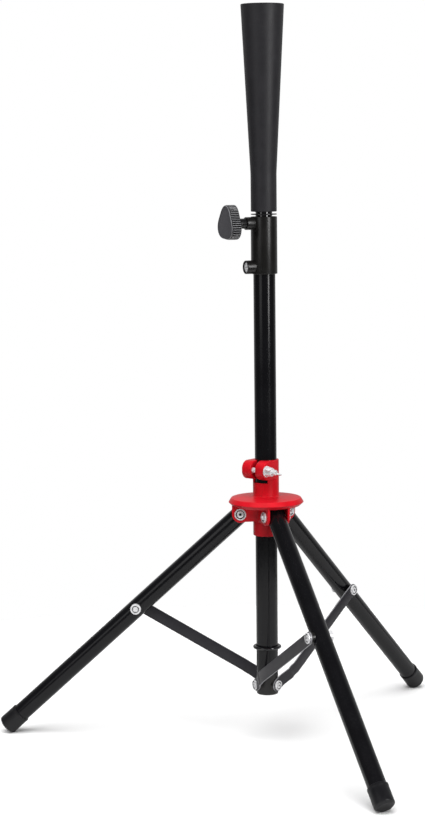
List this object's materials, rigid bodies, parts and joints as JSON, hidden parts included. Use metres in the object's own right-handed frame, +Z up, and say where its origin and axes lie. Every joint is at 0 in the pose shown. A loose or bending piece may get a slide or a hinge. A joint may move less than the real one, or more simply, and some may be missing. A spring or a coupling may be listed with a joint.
{
  "type": "batting tee",
  "caption": "Folding tripod batting tee: a rubber cone on a height-adjusting pole, over a sliding red hub with braced tube legs.",
  "frame": {"origin": "on the column's axis, at floor level under the spread legs", "axes": "+Z up along the column, -Y towards the front leg, the knob close to -X"},
  "size_m": [0.5576, 0.4861, 0.846],
  "materials": {
    "black_tube": "gloss",
    "black_plastic": "satin",
    "rubber": "matte",
    "red_plastic": "satin",
    "bright_steel": "zinc plated",
    "strut_paint": "satin",
    "brass": "machined"
  },
  "bodies": {
    "column": {"main_tube": "black_tube", "bottom_fitting": "black_plastic", "upper_collar": "black_plastic", "collar_screw": "bright_steel", "clamp_insert": "brass"},
    "stop_ring": {"stop_ring": "black_tube"},
    "clamp_stud": {"clamp_stud": "bright_steel"},
    "knob": {"knob": "black_plastic"},
    "pole_bush": {"pole_bush": "black_plastic"},
    "pole": {"inner_pole": "black_tube", "support_ring": "black_tube", "ball_cone": "rubber"},
    "hub": {"hub": "red_plastic", "leg_pivot_bolts": "bright_steel", "leg_pivot_nuts": "bright_steel", "clamp_bolt": "bright_steel"},
    "clamp_washer": {"clamp_washer": "bright_steel"},
    "wing_nut": {"wing_nut": "bright_steel"},
    "leg_front": {"leg_front": "black_tube", "leg_plug_front": "black_plastic", "foot_front": "rubber", "strut_bolt_front": "bright_steel", "strut_spacer_front": "black_plastic", "strut_nut_front": "bright_steel"},
    "strut_front": {"strut_front": "strut_paint", "strut_screw_front": "bright_steel"},
    "leg_right": {"leg_right": "black_tube", "leg_plug_right": "black_plastic", "foot_right": "rubber", "strut_bolt_right": "bright_steel", "strut_spacer_right": "black_plastic", "strut_nut_right": "bright_steel"},
    "strut_right": {"strut_right": "strut_paint", "strut_screw_right": "bright_steel"},
    "leg_left": {"leg_left": "black_tube", "leg_plug_left": "black_plastic", "foot_left": "rubber", "strut_bolt_left": "bright_steel", "strut_spacer_left": "black_plastic", "strut_nut_left": "bright_steel"},
    "strut_left": {"strut_left": "strut_paint", "strut_screw_left": "bright_steel"}
  },
  "joints": [
    {"name": "hub_slide", "type": "slide", "parent": "column", "child": "hub", "axis": [0, 0, 1], "range_m": [0, 0.141]},
    {"name": "stop_ring_slide", "type": "slide", "parent": "column", "child": "stop_ring", "axis": [0, 0, 1], "range_m": [0, 0.071]},
    {"name": "pole_slide", "type": "slide", "parent": "column", "child": "pole_bush", "axis": [0, 0, 1], "range_m": [0, 0.38]},
    {"name": "pole_turn", "type": "hinge", "parent": "pole_bush", "child": "pole", "pos_m": [0, 0, 0.6], "axis": [0, 0, 1], "continuous": true},
    {"name": "stud_travel", "type": "slide", "parent": "column", "child": "clamp_stud", "axis": [-0.9986, -0.0523, 0], "range_m": [0, 0.005]},
    {"name": "knob_turn", "type": "hinge", "parent": "clamp_stud", "child": "knob", "pos_m": [0, 0, 0.60095], "axis": [-0.9986, -0.0523, 0], "range_deg": [0, 1440]},
    {"name": "washer_travel", "type": "slide", "parent": "hub", "child": "clamp_washer", "axis": [0.5, -0.866, 0], "range_m": [0, 0.003]},
    {"name": "wing_nut_turn", "type": "hinge", "parent": "clamp_washer", "child": "wing_nut", "pos_m": [-0.01715, -0.0099, 0.31975], "axis": [0.5, -0.866, 0], "range_deg": [0, 1080]},
    {"name": "leg_fold_front", "type": "hinge", "parent": "hub", "child": "leg_front", "pos_m": [0, -0.028, 0.268], "axis": [1, 0, 0], "range_deg": [0, 47.5]},
    {"name": "strut_fold_front", "type": "hinge", "parent": "leg_front", "child": "strut_front", "pos_m": [0, -0.1526, 0.15382], "axis": [-1, 0, 0], "range_deg": [0, 98.7]},
    {"name": "leg_fold_right", "type": "hinge", "parent": "hub", "child": "leg_right", "pos_m": [0.02425, 0.014, 0.268], "axis": [-0.5, 0.866, 0], "range_deg": [0, 47.5]},
    {"name": "strut_fold_right", "type": "hinge", "parent": "leg_right", "child": "strut_right", "pos_m": [0.13215, 0.0763, 0.15382], "axis": [0.5, -0.866, 0], "range_deg": [0, 98.7]},
    {"name": "leg_fold_left", "type": "hinge", "parent": "hub", "child": "leg_left", "pos_m": [-0.02425, 0.014, 0.268], "axis": [-0.5, -0.866, 0], "range_deg": [0, 47.5]},
    {"name": "strut_fold_left", "type": "hinge", "parent": "leg_left", "child": "strut_left", "pos_m": [-0.13215, 0.0763, 0.15382], "axis": [0.5, 0.866, 0], "range_deg": [0, 98.7]}
  ],
  "couplings": [
    {"joint": "stop_ring_slide", "follows": "hub_slide", "ratio": 0.5},
    {"joint": "knob_turn", "follows": "stud_travel", "rad_per_m": 5026.5},
    {"joint": "wing_nut_turn", "follows": "washer_travel", "rad_per_m": 6283.1},
    {"joint": "leg_fold_front", "follows": "hub_slide", "rad_per_m": 5.8724},
    {"joint": "strut_fold_front", "follows": "hub_slide", "rad_per_m": 12.191},
    {"joint": "leg_fold_right", "follows": "hub_slide", "rad_per_m": 5.8724},
    {"joint": "strut_fold_right", "follows": "hub_slide", "rad_per_m": 12.191},
    {"joint": "leg_fold_left", "follows": "hub_slide", "rad_per_m": 5.8724},
    {"joint": "strut_fold_left", "follows": "hub_slide", "rad_per_m": 12.191}
  ]
}
